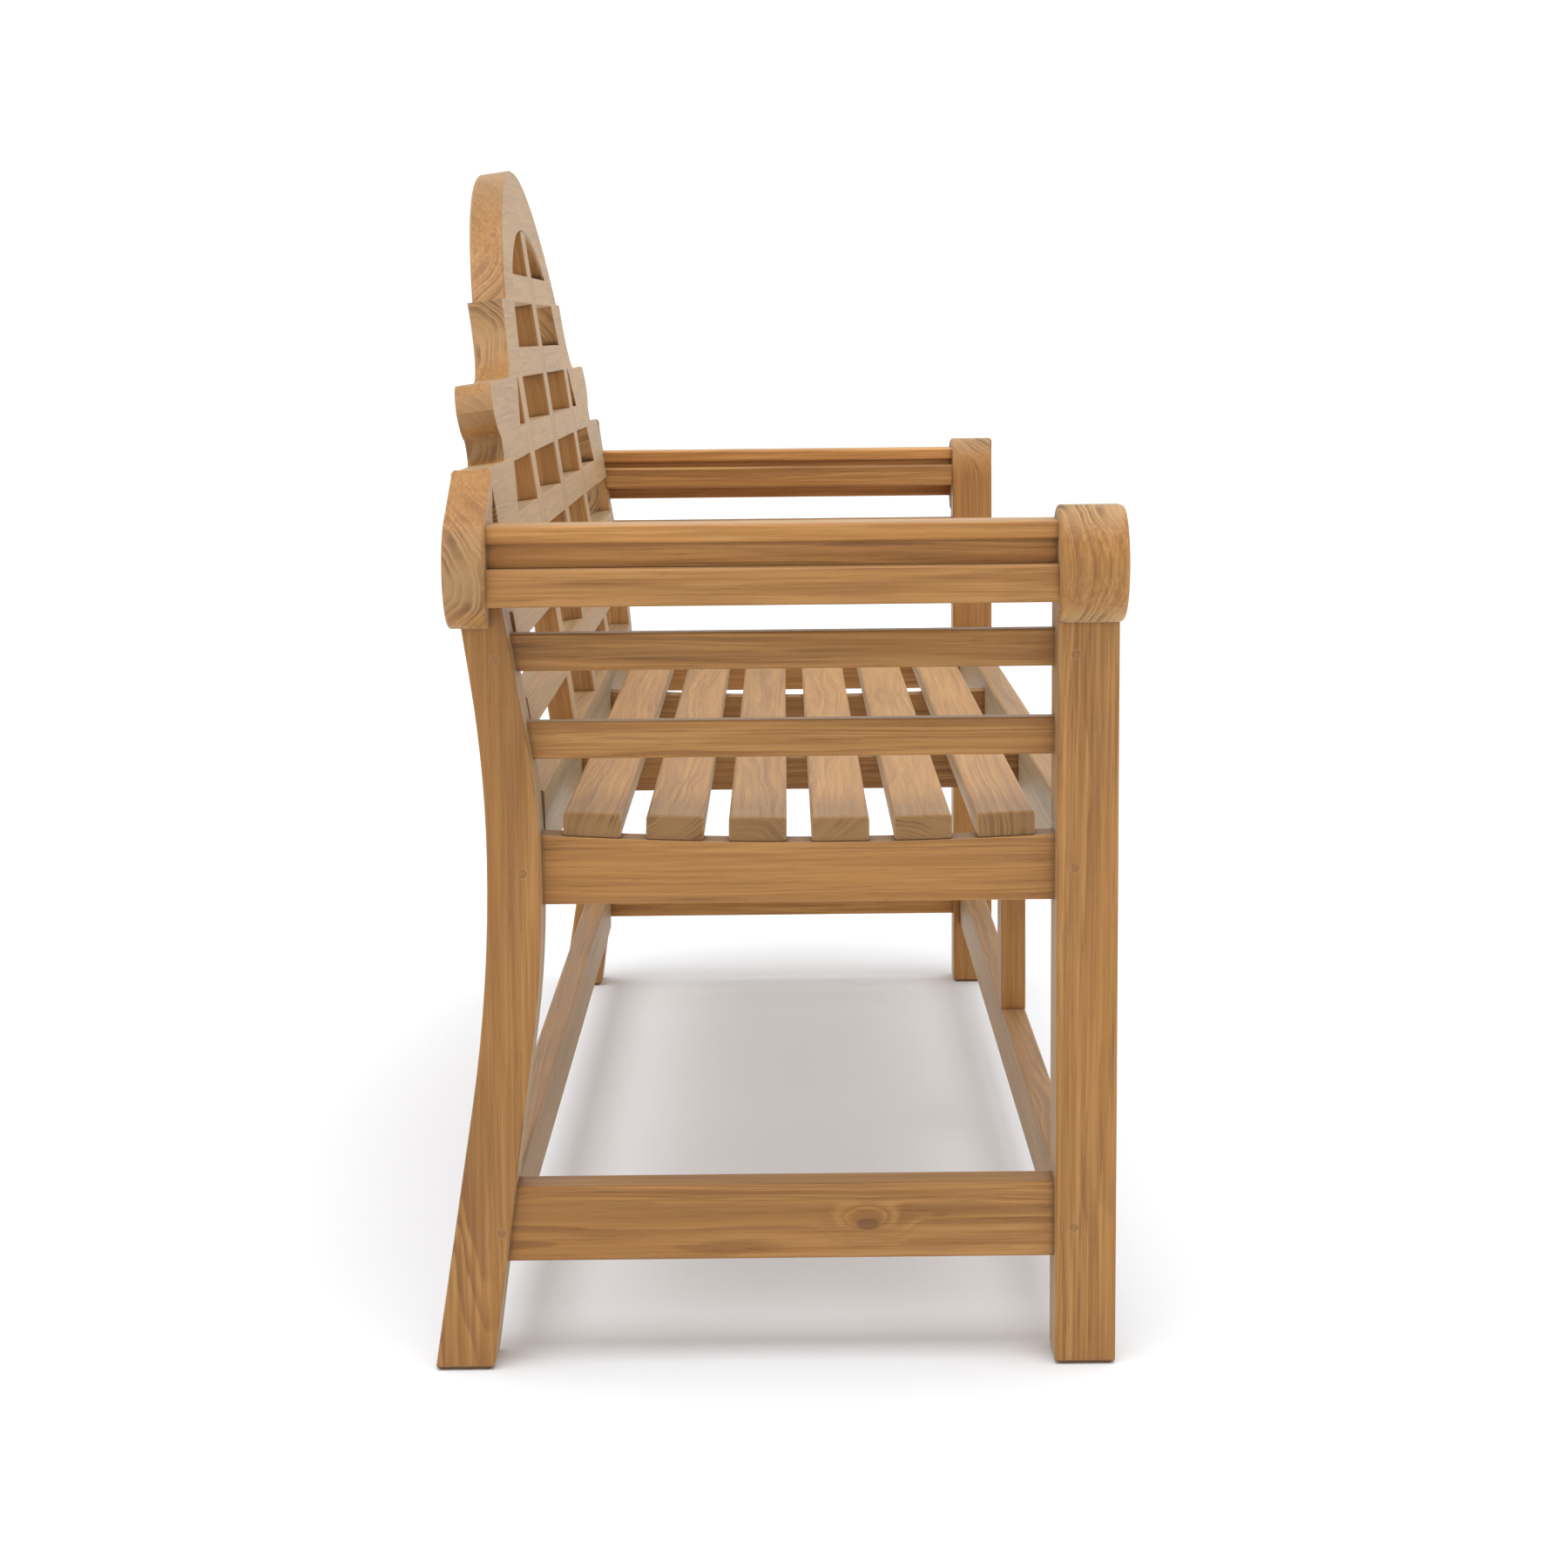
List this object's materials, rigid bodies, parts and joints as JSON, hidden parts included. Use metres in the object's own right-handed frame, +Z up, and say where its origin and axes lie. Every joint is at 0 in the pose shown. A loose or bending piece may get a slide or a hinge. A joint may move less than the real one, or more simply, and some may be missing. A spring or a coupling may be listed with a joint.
{
  "type": "garden bench",
  "caption": "Slatted teak garden bench with an arched lattice back, stepped and eared top outline, and rolled slatted arms.",
  "frame": {"origin": "on the ground, under the middle of the bench's overall box", "axes": "+X along the bench towards the sitter's left-hand end (the viewer's right when facing the front), +Y towards the back, +Z up"},
  "size_m": [1.65, 0.601, 1.0553],
  "materials": {
    "teak": "unfinished planed teak, lightly weathered",
    "hardwood_dowel": "plain turned dowel",
    "screw_steel": "stainless countersunk screws"
  },
  "bodies": {
    "root": {"front_leg_left": "teak", "rear_leg_left": "teak", "arm_roll_cheek_left": "teak", "scroll_board_left": "teak", "seat_side_rail_left": "teak", "side_stretcher_left": "teak", "arm_upper_slat_left": "teak", "arm_lower_slat_left": "teak", "arm_top_batten_left": "teak", "arm_outer_batten_left": "teak", "arm_inner_batten_left": "teak", "haunch_board_left": "teak", "ear_board_left": "teak", "shoulder_board_left": "teak", "front_leg_right": "teak", "rear_leg_right": "teak", "arm_roll_cheek_right": "teak", "scroll_board_right": "teak", "seat_side_rail_right": "teak", "side_stretcher_right": "teak", "arm_upper_slat_right": "teak", "arm_lower_slat_right": "teak", "arm_top_batten_right": "teak", "arm_outer_batten_right": "teak", "arm_inner_batten_right": "teak", "haunch_board_right": "teak", "ear_board_right": "teak", "shoulder_board_right": "teak", "front_seat_rail": "teak", "rear_seat_rail": "teak", "front_stretcher": "teak", "rear_stretcher": "teak", "centre_post": "teak", "crown_board": "teak", "seat_bearer_left": "teak", "seat_bearer_right": "teak", "seat_slat_1": "teak", "seat_slat_2": "teak", "seat_slat_3": "teak", "seat_slat_4": "teak", "seat_slat_5": "teak", "seat_slat_6": "teak", "back_rail_1": "teak", "back_rail_2": "teak", "back_rail_3": "teak", "back_rail_4": "teak", "back_rail_5": "teak", "back_rail_6": "teak", "back_upright_left": "teak", "back_upright_centre": "teak", "back_upright_right": "teak", "draw_pegs": "hardwood_dowel", "board_dowels": "hardwood_dowel", "slat_dowels": "hardwood_dowel", "slat_screws": "screw_steel"}
  },
  "joints": []
}
